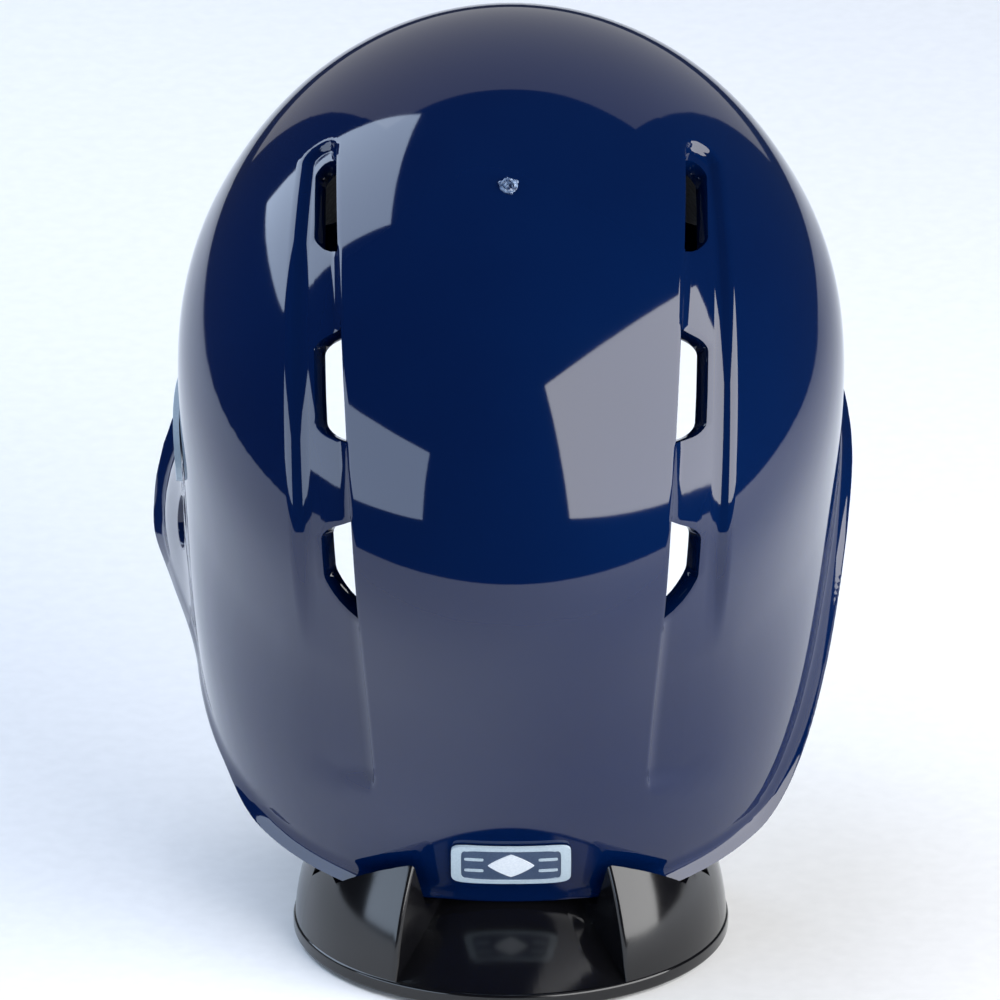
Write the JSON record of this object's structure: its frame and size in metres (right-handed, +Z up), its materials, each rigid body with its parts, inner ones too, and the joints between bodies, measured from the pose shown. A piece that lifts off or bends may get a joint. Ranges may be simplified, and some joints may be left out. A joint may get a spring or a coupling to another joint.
{
  "type": "display batting helmet",
  "caption": "Glossy display batting helmet with one ear flap, vented channels, foam pads and a small brim, resting tilted back on a round black stand.",
  "frame": {"origin": "centre of the stand's underside", "axes": "+Z up, -Y toward the brim, +Y toward the nape, +X toward the side with the ear flap"},
  "size_m": [0.1146, 0.1557, 0.1473],
  "materials": {
    "gloss_navy_abs": "gloss",
    "black_foam": "soft closed-cell foam",
    "printed_label": "printed film",
    "gloss_black_abs": "gloss",
    "black_felt": "felt"
  },
  "bodies": {
    "stand": {"stand_body": "gloss_black_abs", "stand_sole_pad": "black_felt"},
    "helmet": {"helmet_shell": "gloss_navy_abs", "forehead_pad": "black_foam", "crown_pad": "black_foam", "left_side_pad": "black_foam", "right_side_pad": "black_foam", "ear_pad": "black_foam", "nape_pad": "black_foam", "nape_badge": "printed_label", "side_emblem": "printed_label"}
  },
  "joints": [
    {"name": "helmet_lift", "type": "slide", "parent": "stand", "child": "helmet", "axis": [0, 0.3987, 0.9171], "range_m": [0, 0.06]}
  ]
}
